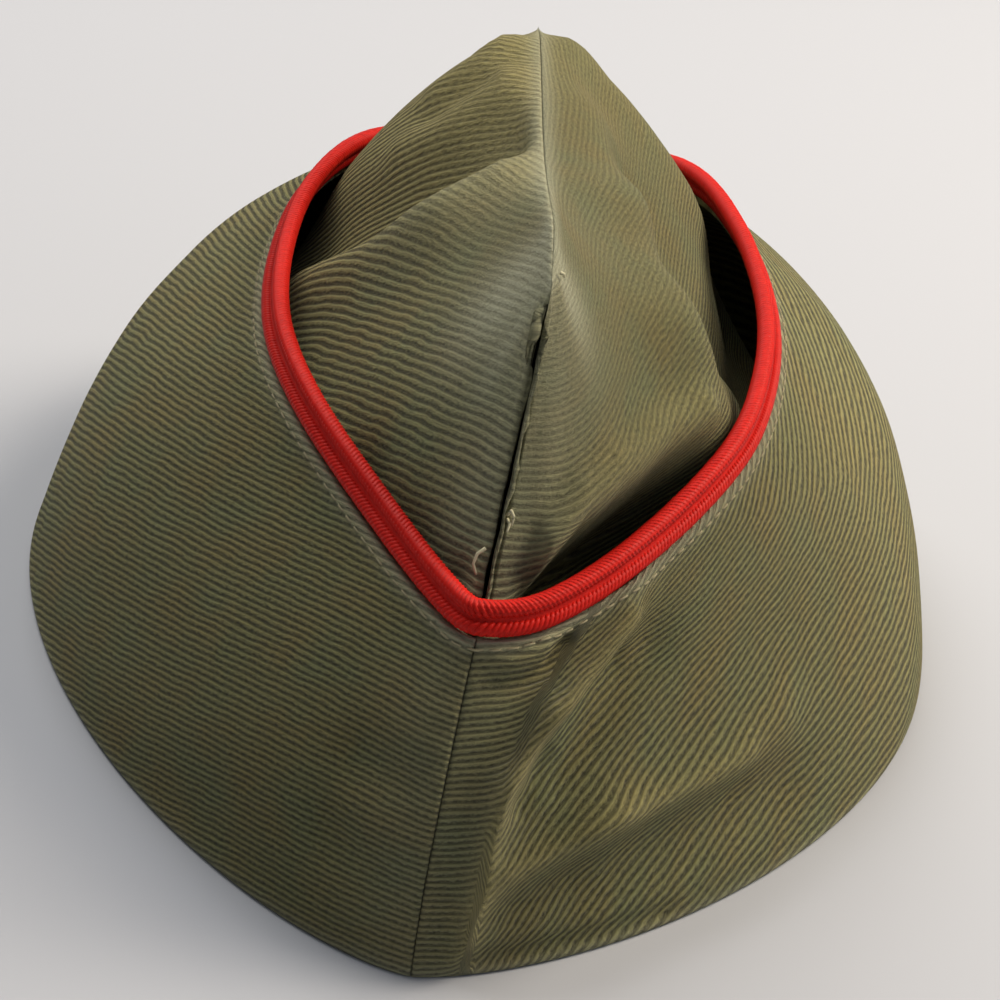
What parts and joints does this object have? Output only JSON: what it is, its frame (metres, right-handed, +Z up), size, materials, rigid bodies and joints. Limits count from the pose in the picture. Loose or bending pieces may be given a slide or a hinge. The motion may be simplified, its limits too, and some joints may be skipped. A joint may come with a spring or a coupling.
{
  "type": "garrison cap",
  "caption": "Soft olive twill garrison cap with a creased crown, a turned-up flap that dips at front and back, and a red braided edge.",
  "frame": {"origin": "on the surface that the rim rests on, under the middle of the cap's box", "axes": "+Z up, +Y from the front of the cap to its back, +X to the right as seen from the front"},
  "size_m": [0.1606, 0.208, 0.0971],
  "materials": {
    "olive_twill": "worn cotton twill, matt",
    "red_braid": "braided cord, soft sheen"
  },
  "bodies": {
    "root": {"crown_left": "olive_twill", "crown_right": "olive_twill", "flap_left": "olive_twill", "flap_right": "olive_twill", "braid_edge": "red_braid"}
  },
  "joints": []
}
